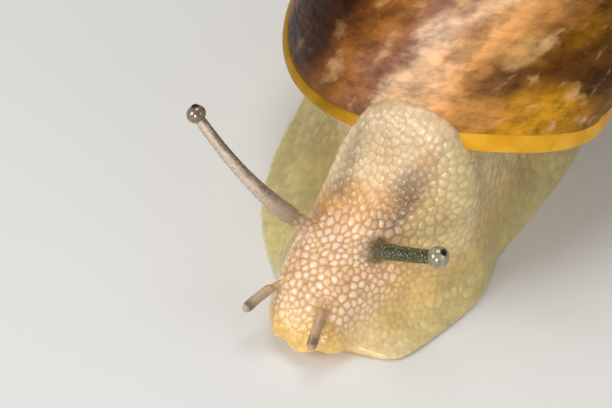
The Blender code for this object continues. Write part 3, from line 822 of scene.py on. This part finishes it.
def stalk_colours(points, colour):
    """The tentacles, with a dark ring below the tip of the lower pair, painted shade on their flanks, and how
    many granules show.
    """
    grains = np.zeros(len(points))
    for name, (line, _, bulb, start) in TENTACLES.items():
        gap, share = nearest_on_stalk(points, line)
        size = stalk_radius(name, share)
        root, tip, amount, edge = STALK_TONES[name]
        tone = mix(np.tile(root, (len(points), 1)), tip, smooth(start, 0.6, share))
        if not bulb:
            ring = smooth(0.72, 0.88, share) * smooth(1.0, 0.90, share)
            tone = mix(tone, (0.06, 0.04, 0.025), 0.7 * ring)
        # Both flanks darkened round a paler middle: painted shade, on the DARK_SIDE flank partly a pigmented
        # band.
        out = (points - parabola(*line, share)[0]) @ DARK_SIDE
        out /= np.linalg.norm(DARK_SIDE) * size
        band_and_shade = smooth(0.2, 0.8, out) + 0.8 * smooth(-0.3, -0.85, out)
        band_and_shade = np.clip(band_and_shade + 0.32 * waves(points, 0.32, 12), 0, 1)
        tone = mix(tone, 0.25 * tone.mean(axis=0), edge * band_and_shade * smooth(start, start + 0.3, share))
        on = smooth(2.0, 1.2, gap / size) * smooth(start - 0.22, start + 0.04, share)
        colour = mix(colour, tone, on)
        grains = np.maximum(grains, amount * on * smooth(start, start + 0.2, share))
    return colour, grains


def build_skin():
    piece = skin_form()
    mesh = piece.data
    points, normals = points_of(mesh), read(mesh.vertex_normals, "vector", 3).astype(float)
    stalk, _ = on_stalks(points)
    bead, own = beads(points, stalk)
    _, y, z = points.T
    turn, phi, share = shell_place(points)
    behind = (lip_angle(phi) - turn > -0.02) & (share < 1.05) & (z > 3)
    lips = smooth(1.0, -0.2, y) * smooth(2.4, 1.3, z)
    depth = 0.06 + 0.02 * smooth(2.0, 5.0, z) + 0.03 * smooth(10, 16, y)
    depth *= 0.6 + 0.4 * smooth(1.5, 3.5, z)
    depth *= 1 - 0.35 * on_neck(y)
    depth *= (0.6 + 0.8 * own) * smooth(0.3, 1.0, z) * (1 - 0.8 * lips) * (1 - behind)
    depth = depth * (1 - stalk) + 0.012 * stalk
    set_points(mesh, above_floor(points + normals * (depth * (bead - 0.55))[:, None]))
    colour, grains = stalk_colours(points, skin_colours(points, bead, own))
    add_colour(mesh, "tone", np.clip(colour, 0, 1))
    add_value(mesh, "grains", grains)
    add_value(mesh, "bead", bead * (1 - stalk) * (1 - lips))
    return place(piece)


# ---- materials


class Nodes:
    """A short way to wire a material's nodes."""

    def __init__(self, name):
        self.material = bpy.data.materials.new(name)
        self.material.use_nodes = True
        self.tree = self.material.node_tree
        self.shader = self.tree.nodes["Principled BSDF"]

    def add(self, kind, **values):
        node = self.tree.nodes.new("ShaderNode" + kind)
        for key, value in values.items():
            if key in node.inputs:
                self.feed(value, node.inputs[key])
            else:
                setattr(node, key, value)
        return node

    def feed(self, value, socket):
        if isinstance(value, bpy.types.NodeSocket):
            self.tree.links.new(value, socket)
        else:
            socket.default_value = value

    def set(self, **values):
        for key, value in values.items():
            self.feed(value, self.shader.inputs[key.replace("_", " ")])

    def attribute(self, name, output="Fac"):
        return self.add("Attribute", attribute_name=name).outputs[output]

    def where(self):
        return self.add("TexCoord").outputs["Object"]

    def noise(self, scale, detail=3.0, at=None, rough=0.5):
        node = self.add("TexNoise", Scale=scale, Detail=detail, Roughness=rough)
        self.feed(at if at is not None else self.where(), node.inputs["Vector"])
        return node.outputs["Fac"]

    def cells(self, scale):
        return self.add("TexVoronoi", Scale=scale, Vector=self.where()).outputs

    def ramp(self, value, low, high, to_low=0.0, to_high=1.0, kind="SMOOTHSTEP"):
        node = self.add("MapRange", interpolation_type=kind)
        given = {"Value": value, "From Min": low, "From Max": high, "To Min": to_low, "To Max": to_high}
        for name, number in given.items():
            self.feed(number, node.inputs[name])
        return node.outputs["Result"]

    def maths(self, operation, a, b):
        node = self.add("Math", operation=operation)
        self.feed(a, node.inputs[0])
        self.feed(b, node.inputs[1])
        return node.outputs[0]

    def plus(self, a, b):
        return self.maths("ADD", a, b)

    def minus(self, a, b):
        return self.maths("SUBTRACT", a, b)

    def times(self, a, b):
        return self.maths("MULTIPLY", a, b)

    def blend(self, share, a, b, kind="MIX"):
        """Colour a moved towards colour b by a share."""
        node = self.add("Mix", data_type="RGBA", blend_type=kind)
        self.feed(share, node.inputs[0])
        for index, colour in ((6, a), (7, b)):
            self.feed((*colour, 1) if isinstance(colour, tuple) else colour, node.inputs[index])
        return node.outputs[2]

    def grey(self, value):
        return self.add("CombineColor", Red=value, Green=value, Blue=value).outputs["Color"]

    def ramp_of(self, value, unit, stops):
        """Colours at places given as stops times unit, eased between."""
        low, high = stops[0][0], stops[-1][0]
        node = self.add("ValToRGB", Fac=self.ramp(value, low * unit, high * unit, kind="LINEAR"))
        points = node.color_ramp.elements
        for i, (at, tone) in enumerate(stops):
            share = (at - low) / (high - low)
            point = points[i] if i < 2 else points.new(share)
            point.position = share
            point.color = (*tone, 1)
        return node.outputs["Color"]

    def bump(self, height, distance, strength=1.0, on=None):
        node = self.add("Bump", Strength=strength, Distance=distance, Height=height)
        if on is not None:
            self.feed(on, node.inputs["Normal"])
        return node.outputs["Normal"]


def skin_material():
    m = Nodes("snail_skin")
    tone = m.attribute("tone", "Color")
    mottle = m.ramp(m.noise(2600, 4), 0.35, 0.75, 0.0, 0.3)
    colour = m.blend(mottle, tone, m.blend(1.0, tone, (0.62, 0.52, 0.38), "MULTIPLY"))
    cells = m.cells(12500)
    own = m.add("SeparateColor", Color=cells["Color"]).outputs["Red"]
    dot = m.times(m.ramp(cells["Distance"], 0.20, 0.38, 1.0, 0.0), m.ramp(own, 0.1, 0.7))
    dot = m.times(dot, m.attribute("grains"))
    colour = m.blend(dot, colour, (0.72, 0.70, 0.40))
    normal = m.bump(m.noise(9000, 3), 0.00002, 0.3)
    normal = m.bump(dot, 0.00003, 0.6, normal)
    m.set(Base_Color=colour, Roughness=m.ramp(m.attribute("bead"), 0.2, 0.9, 0.55, 0.4), Normal=normal)
    m.set(Subsurface_Weight=0.3, Subsurface_Scale=0.0003, Subsurface_Radius=(1.0, 0.5, 0.25))
    m.set(Specular_IOR_Level=0.45, Coat_Weight=0.8, Coat_Roughness=0.12, IOR=1.4)
    return m.material


# ---- shell pieces


def walled(name, outer, inner):
    """A closed wall between two grids of points of the same size."""
    rows, columns = outer.shape[:2]
    count = rows * columns
    points = np.concatenate([outer.reshape(-1, 3), inner.reshape(-1, 3)])
    faces = quads(rows, columns) + quads(rows, columns, count, flip=True)
    grid = np.arange(count).reshape(rows, columns)
    rim = np.concatenate([grid[:, 0], grid[-1, 1:], grid[-2::-1, -1], grid[0, -2:0:-1]]).tolist()
    for a, b in zip(rim, rim[1:] + rim[:1]):
        faces.append((a, b, b + count, a + count))
    return mesh_object(name, points, faces)


def growth_relief(turn, phi):
    """Growth lines and coarse wrinkles of the shell's surface, in millimetres at size 1."""
    along = turn - LIP_SKEW * np.sin(phi)
    rng = np.random.default_rng(3)
    relief = np.zeros(np.broadcast(turn, phi).shape)
    for count, height in ((150, 0.016), (97, 0.020), (61, 0.030), (38, 0.03)):
        shift = rng.uniform(0, math.tau)
        wobble = 0.9 * np.sin(3.1 * phi + rng.uniform(0, 6)) + 0.7 * np.sin(7.3 * phi + 2.2 * turn)
        fade = 0.6 + 0.4 * np.sin(5.0 * phi + 3.0 * along + rng.uniform(0, 6))
        relief = relief + height * fade * np.sin(count * along + wobble + shift)
    return relief


def shell_wall(name, turn, phi):
    """Outer and inner surface over a grid of turns and section angles."""
    size = WHORL_GROWTH ** (turn / math.tau)
    edge = smooth(0, 0.5, UPPER_SUTURE - phi) * smooth(0, 0.5, phi - BASE)
    grow = growth_relief(turn, phi) * (0.35 + 0.65 * edge)
    outer = from_shell(shell_points(turn, phi, grow))
    inner = from_shell(shell_points(turn, phi, -WALL / size.clip(0.05)))
    piece = walled(name, outer, inner)
    along = PLACE_UNITS[0] * (turn - LIP_SKEW * np.sin(phi)).ravel()
    rise = PLACE_UNITS[1] * phi.ravel()
    spots = np.stack([along, rise, 0 * rise], 1)
    add_colour(piece.data, "shell_place", np.tile(spots, (2, 1)))
    add_value(piece.data, "inner", np.repeat((0, 1), turn.size))
    return place(piece)


def lip_width(phi):
    """Turn that the thickened lip covers: wider on the narrow side by the shell's axis."""
    radius, _ = section(phi)
    width = 0.8 + 0.45 * smooth(-0.2, -0.9, phi)
    return np.clip(width / radius, 0.04, 0.2)


def build_body_whorl(rows=470, columns=90):
    """The last whorl, from under the lip's start round to the lip."""
    phi = np.linspace(BASE, UPPER_SUTURE, columns)[None, :]
    share = np.linspace(0, 1, rows)[:, None]
    first = SPIRE_END - 0.05
    last = lip_angle(phi) - 0.9 * lip_width(phi)
    turn = first + (last - first) * share
    return shell_wall("shell_body_whorl_surface", turn, np.broadcast_to(phi, turn.shape))


def build_spire(rows=640, columns=34):
    """The whorls before the last, up to the apex."""
    phi = np.linspace(LOWER_SUTURE - 0.03, UPPER_SUTURE, columns)[None, :]
    turn = np.linspace(-TIP_TURNS * math.tau, SPIRE_END, rows)[:, None] + 0 * phi
    return shell_wall("shell_spire_surface", turn, np.broadcast_to(phi, turn.shape))


def build_apex():
    """The smooth rounded tip in the middle of the first whorl, a flat ball sunk into it."""
    size = WHORL_GROWTH ** -(TIP_TURNS - 1)
    radius, height = section(UPPER_SUTURE)
    reach = TIP_REACH * size * radius
    centre = (0, 0, size * height - TIP_SUNK * reach)
    points, faces = ball(centre, (reach, reach, TIP_HEIGHT * reach), segments=40, rings=24)
    piece = mesh_object("shell_apex_tip", from_shell(points), faces)
    spots = points + (-PLACE_UNITS[0] * TIP_TURNS * math.tau, PLACE_UNITS[1] * TIP_PHI, 0)
    add_colour(piece.data, "shell_place", spots * (1, 1, 0))
    add_value(piece.data, "inner", np.zeros(len(points)))
    return place(piece)


LIP_PROFILE = [
    # turn past the whorl's end in widths of the lip, and height over the shell's surface
    (-1.1, 0.02), (-0.85, 0.14), (-0.5, 0.24), (-0.2, 0.22), (0.0, 0.06), (0.08, -0.15),
    (0.06, -0.4), (-0.02, -0.62), (-0.3, -0.76), (-0.7, -0.78), (-1.1, -0.6), (-1.3, -0.3),
]


def build_lip():
    """The thickened amber edge of the aperture, a rounded bead along the whorl's end."""
    phis = np.linspace(BASE + 0.2, UPPER_SUTURE - 0.05, 150)
    rings = []
    for i, phi in enumerate(phis):
        close = min(1.0, 0.3 + 0.7 * min(i, len(phis) - 1 - i) / 12)
        width = lip_width(phi)
        ring = []
        for turn, depth in rounded(LIP_PROFILE, 2):
            depth = -0.3 + (depth + 0.3) * close
            ring.append(from_shell(shell_points(lip_angle(phi) + turn * width, np.float64(phi), depth)))
        rings.append(ring)
    piece = mesh_object("shell_lip_bead", *loft(rings))
    add_value(piece.data, "shell_rise", [*np.repeat(phis, len(rings[0])), phis[0], phis[-1]])
    return place(piece)


def rounded(loop, times):
    """A closed loop of points with its corners cut again and again."""
    loop = np.array(loop, float)
    for _ in range(times):
        after = np.roll(loop, -1, axis=0)
        loop = np.stack([0.75 * loop + 0.25 * after, 0.25 * loop + 0.75 * after], 1).reshape(-1, 2)
    return loop


SHELL_STOPS = [
    # section angle from below round to the suture, and the ground colour there
    (-2.75, (0.40, 0.24, 0.10)),
    (-2.20, (0.24, 0.10, 0.02)),
    (-1.95, (0.10, 0.035, 0.008)),
    (-1.70, (0.34, 0.15, 0.02)),
    (-1.35, (0.46, 0.20, 0.008)),
    (-1.05, (0.74, 0.33, 0.015)),
    (-0.88, (0.60, 0.26, 0.025)),
    (-0.74, (0.44, 0.19, 0.05)),
    (-0.64, (0.60, 0.27, 0.07)),
    (-0.54, (0.86, 0.40, 0.13)),
    # From -0.42 to -0.27 the pale pinkish band is partly the shell's own pale band and partly a painted
    # sheen.
    (-0.42, (0.95, 0.55, 0.29)),
    (-0.27, (0.92, 0.60, 0.38)),
    (-0.18, (0.34, 0.15, 0.085)),
    (-0.09, (0.42, 0.17, 0.055)),
    (0.02, (0.34, 0.12, 0.015)),
    (0.12, (0.14, 0.042, 0.004)),
    (0.24, (0.045, 0.012, 0.001)),
    (0.55, (0.022, 0.006, 0.001)),
    (0.68, (0.22, 0.085, 0.015)),
    (0.85, (0.36, 0.17, 0.06)),
    (1.00, (0.12, 0.04, 0.007)),
    (1.18, (0.26, 0.10, 0.02)),
    (1.40, (0.34, 0.15, 0.04)),
]

SHELL_MARKS = [
    # place on the last whorl, half extent, strength and colour of single marks
    ((-4.8, -6.5), (1.5, 1.3), 0.65, (0.085, 0.026, 0.008)),
    ((-5.0, -1.5), (1.8, 1.2), 0.55, (0.24, 0.085, 0.055)),
    ((-9.2, -1.9), (1.7, 1.3), 0.75, (0.30, 0.14, 0.085)),
    ((-7.2, -2.3), (1.2, 0.9), 0.55, (0.92, 0.60, 0.38)),
    ((-7.0, -6.4), (1.4, 0.8), 0.6, (0.80, 0.46, 0.17)),
    ((-2.5, -6.9), (1.3, 1.3), 0.7, (0.66, 0.31, 0.07)),
    ((-0.9, -8.7), (0.7, 1.2), 0.6, (0.66, 0.30, 0.012)),
    ((-1.8, 0.4), (1.6, 1.0), 0.5, (0.12, 0.045, 0.001)),
    ((-4.1, -10.0), (1.6, 1.3), 0.4, (0.82, 0.38, 0.01)),
    ((-6.0, -11.6), (1.8, 1.5), 0.6, (0.03, 0.008, 0.0008)),
    ((-9.0, -8.1), (1.6, 1.1), 0.45, (0.42, 0.17, 0.008)),
]


class ShellNodes(Nodes):
    """Nodes whose patterns follow the place on the shell."""

    def __init__(self, name):
        super().__init__(name)
        self.spot = self.attribute("shell_place", "Vector")
        parts = self.add("SeparateXYZ", Vector=self.spot).outputs
        self.along, self.rise = parts["X"], parts["Y"]

    def grain(self, along, rise, shift, detail=3.0, rough=0.5):
        """Noise drawn out over the shell: features a millimetre long divided by along and by rise."""
        move = (shift, 0.7 * shift, shift)
        node = self.add("Mapping", Vector=self.spot, Scale=(along, rise, 1), Location=move)
        return self.noise(1.0, detail, node.outputs["Vector"], rough)

    def wander(self, strength, *pattern):
        return self.times(self.minus(self.grain(*pattern), 0.5), strength)

    def mark(self, colour, at, reach, amount, tint):
        """The colour with one soft-edged mark of a tint on it."""
        across = self.times(self.minus(self.along, at[0]), 1 / reach[0])
        upward = self.times(self.minus(self.rise, at[1]), 1 / reach[1])
        gap = self.plus(self.times(across, across), self.times(upward, upward))
        gap = self.plus(gap, self.wander(2.4, 0.9, 1.0, 17, 4, 0.6))
        return self.blend(self.ramp(gap, 1.3, 0.1, 0.0, amount), colour, tint)


def shell_ground(m, rise):
    """The ground colours, which hold a painted sheen in their pale band, darker on the lower side back from
    the lip as a painted shade, with blotches and marks.
    """
    colour = m.ramp_of(rise, PLACE_UNITS[1], SHELL_STOPS)
    # Painted shade: the lower side of the last whorl, back from the lip, darkened.
    shaded_underside = m.times(m.ramp(m.along, -3.4, -6.2), m.ramp(rise, -5.6, -8.2))
    shaded_underside = m.times(shaded_underside, m.ramp(rise, -17.0, -14.0))
    colour = m.blend(m.times(shaded_underside, 0.9), colour, (0.085, 0.024, 0.001))
    blotch = m.ramp(m.grain(0.42, 0.5, 9, 5, 0.6), 0.47, 0.62)
    colour = m.blend(m.times(blotch, 0.45), colour, (0.12, 0.034, 0.008))
    for mark in SHELL_MARKS:
        colour = m.mark(colour, *mark)
    return colour


def shell_material():
    m = ShellNodes("shell_horn")
    rise = m.plus(m.rise, m.wander(3.4, 0.28, 0.35, 4))
    rise = m.plus(rise, m.wander(2.6, 0.9, 0.8, 31, 5, 0.6))
    colour = shell_ground(m, rise)
    dapple = m.ramp(m.grain(1.0, 0.9, 21, 5, 0.65), 0.42, 0.68, 1.0, 0.6)
    streaks = m.ramp(m.grain(3.0, 0.3, 5, 4, 0.6), 0.4, 0.7, 1.0, 0.86)
    colour = m.blend(1.0, colour, m.grey(m.times(dapple, streaks)), "MULTIPLY")
    flecks = m.ramp(m.grain(0.5, 0.8, 13, 4, 0.55), 0.54, 0.72)
    flecks = m.times(flecks, m.ramp(rise, 2.0, -1.0, 0.15, 0.6))
    colour = m.blend(flecks, colour, (0.80, 0.47, 0.22))
    colour = m.blend(m.times(m.ramp(m.along, -1.5, -0.9), 0.6), colour, (0.16, 0.055, 0.006))
    colour = m.blend(m.attribute("inner"), colour, (0.66, 0.50, 0.34))

    normal = m.bump(m.grain(1.6, 1.1, 2, 4, 0.6), 0.0003, 0.3)
    normal = m.bump(m.grain(9.0, 1.2, 8, 3), 0.00008, 0.5, normal)
    rough = m.ramp(m.grain(2.0, 2.0, 11), 0.3, 0.7, 0.32, 0.46)
    m.set(Base_Color=colour, Roughness=rough, Normal=normal)
    m.set(Coat_Weight=0.04, Coat_Roughness=0.25, Specular_IOR_Level=0.12, IOR=1.3)
    return m.material


def lip_material():
    m = Nodes("lip_amber")
    tint = m.ramp(m.noise(600, 3), 0.3, 0.7)
    lower = m.blend(tint, (0.72, 0.34, 0.010), (0.88, 0.46, 0.035))
    upper = m.blend(tint, (0.26, 0.13, 0.002), (0.38, 0.20, 0.006))
    colour = m.blend(m.ramp(m.attribute("shell_rise"), -0.5, 0.0), lower, upper)
    m.set(Base_Color=colour, Roughness=0.36, Normal=m.bump(m.noise(3000, 2), 0.00002, 0.3))
    m.set(Subsurface_Weight=0.2, Subsurface_Scale=0.0005, Subsurface_Radius=(1.0, 0.4, 0.05))
    m.set(Coat_Weight=0.07, Coat_Roughness=0.2, Specular_IOR_Level=0.15, IOR=1.35)
    return m.material


# ---- eyes


def build_eye(name):
    """The clear bulb at a tentacle's tip and the black eye under its surface. Returns both."""
    line, _, bulb, _ = TENTACLES[name]
    tip = np.array(line[2])
    way = parabola(*line, 1.0)[1][0]
    unit, faces = ball(segments=64, rings=40)
    onward = unit @ way
    flat = unit - onward[:, None] * way * BULB_FLATNESS
    globe = mesh_object("eye_bulb_" + name + "_globe", tip + flat * bulb, faces)
    add_value(globe.data, "towards_tip", onward)
    add_value(globe.data, "bulb_shade", np.full(len(unit), BULB_SHADE[name]))
    aim = np.array(PUPIL_SIDE[name])
    aim /= np.linalg.norm(aim)
    unit, faces = ball(segments=40, rings=24)
    lens = unit - (unit @ aim)[:, None] * aim * PUPIL_FLATNESS
    reach = bulb * np.linalg.norm(aim - (aim @ way) * way * BULB_FLATNESS)
    centre = tip + aim * (reach - PUPIL_DEPTH)
    pupil = mesh_object("eye_pupil_" + name + "_lens", centre + lens * PUPIL_RADIUS, faces)
    return place(globe), place(pupil)


def bulb_material():
    m = Nodes("eye_bulb")
    cloud = m.ramp(m.noise(2600, 4), 0.35, 0.7)
    ground = m.blend(cloud, (0.17, 0.145, 0.07), (0.40, 0.35, 0.19))
    # Painted shade: the right bulb's darker, browner copy of the same ground.
    shaded_bulb = m.blend(cloud, (0.10, 0.055, 0.025), (0.24, 0.15, 0.08))
    ground = m.blend(m.attribute("bulb_shade"), ground, shaded_bulb)
    # Painted shade: darker towards the stalk, so a bulb seen end-on has a dark rim round a bright middle.
    rim_shade = m.ramp(m.attribute("towards_tip"), -0.55, 0.0, 1.0, 0.0)
    ground = m.blend(rim_shade, ground, (0.10, 0.085, 0.035))
    specks = m.ramp(m.cells(8000)["Distance"], 0.1, 0.35, 0.22, 0.0)
    ground = m.blend(specks, ground, (0.58, 0.52, 0.36))
    m.set(Base_Color=ground, Roughness=0.2, Subsurface_Weight=0.3, Subsurface_Scale=0.0003)
    m.set(Coat_Weight=1.0, Coat_Roughness=0.03, Coat_IOR=1.9, Specular_IOR_Level=0.5)
    return m.material


def pupil_material():
    m = Nodes("eye_black")
    tint = m.blend(m.ramp(m.noise(4000, 2), 0.3, 0.7), (0.003, 0.003, 0.003), (0.012, 0.010, 0.008))
    m.set(Base_Color=tint, Roughness=0.3, Specular_IOR_Level=0.35)
    return m.material


# ---- studio


CAMERA_AT = (35.29, -122.53, 134.29)
CAMERA_TILT = math.radians(46)
CAMERA_TURN = math.radians(17)
CAMERA_LENS = 204.6

LAMPS = [
    # name, way there from the middle of the snail, distance, width and power
    ("key", (-0.66, -0.55, 0.51), 220, 120, 0.19),
    ("front", (0.08, -0.95, 0.30), 200, 90, 0.14),
    ("fill", (0.87, -0.21, 0.44), 220, 100, 0.05),
    ("top", (-0.05, 0.25, 0.96), 250, 160, 0.18),
]
LAMP_TARGET = (0, 12, 5)


def build_floor():
    bpy.ops.mesh.primitive_plane_add(size=3.0, location=(0, 0, 0))
    floor = bpy.context.object
    floor.name = "floor"
    m = Nodes("floor_pale")
    m.set(Base_Color=m.blend(m.noise(8, 2), (0.80, 0.79, 0.76), (0.84, 0.83, 0.80)), Roughness=0.75)
    floor.data.materials.append(m.material)


def build_sky():
    world = bpy.data.worlds.new("studio")
    bpy.context.scene.world = world
    world.use_nodes = True
    sky = world.node_tree.nodes["Background"].inputs
    sky["Color"].default_value = (0.96, 0.97, 1.0, 1)
    sky["Strength"].default_value = 0.30


def stand(name, data, point):
    """A lamp or camera at a point in millimetres."""
    piece = bpy.data.objects.new(name, data)
    bpy.context.scene.collection.objects.link(piece)
    piece.location = Vector((point + TO_FRAME) * MM)
    return piece


def build_lamp(name, way, distance, width, power):
    """A round soft light that points at the snail."""
    lamp = bpy.data.lights.new(name, "AREA")
    lamp.shape = "DISK"
    lamp.size = width * MM
    lamp.energy = power
    reach = np.array(way) * distance
    piece = stand(name, lamp, LAMP_TARGET + reach)
    piece.rotation_euler = Vector(reach).to_track_quat("Z", "Y").to_euler()


def build_camera():
    camera = bpy.data.cameras.new("camera")
    camera.lens = CAMERA_LENS
    camera.sensor_width = 36.0
    camera.clip_start = 0.01
    camera.clip_end = 20.0
    view = stand("camera", camera, CAMERA_AT)
    view.rotation_euler = (CAMERA_TILT, 0, CAMERA_TURN)
    bpy.context.scene.camera = view


def studio():
    """Pale floor, soft light and the camera."""
    bpy.context.scene.view_settings.view_transform = "Standard"
    build_floor()
    build_sky()
    for lamp in LAMPS:
        build_lamp(*lamp)
    build_camera()


def wear(piece, material, nodes):
    piece.data.materials.clear()
    piece.data.materials.append(material)
    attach(piece, "root")
    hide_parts(*nodes)


FLESH = [name for name in sorted(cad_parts) if not name.startswith(("shell_", "eye_"))]


def build():
    studio()
    wear(build_skin(), skin_material(), FLESH)
    horn = shell_material()
    wear(build_body_whorl(), horn, ["shell_body_whorl"])
    wear(build_spire(), horn, ["shell_spire", "shell_apex"])
    wear(build_apex(), horn, ["shell_apex"])
    wear(build_lip(), lip_material(), ["shell_lip"])
    bulb, black = bulb_material(), pupil_material()
    for name, side in (("upper_left", "left"), ("upper_right", "right")):
        globe, pupil = build_eye(name)
        wear(globe, bulb, ["eye_bulb_" + side])
        wear(pupil, black, ["eye_pupil_" + side])


build()
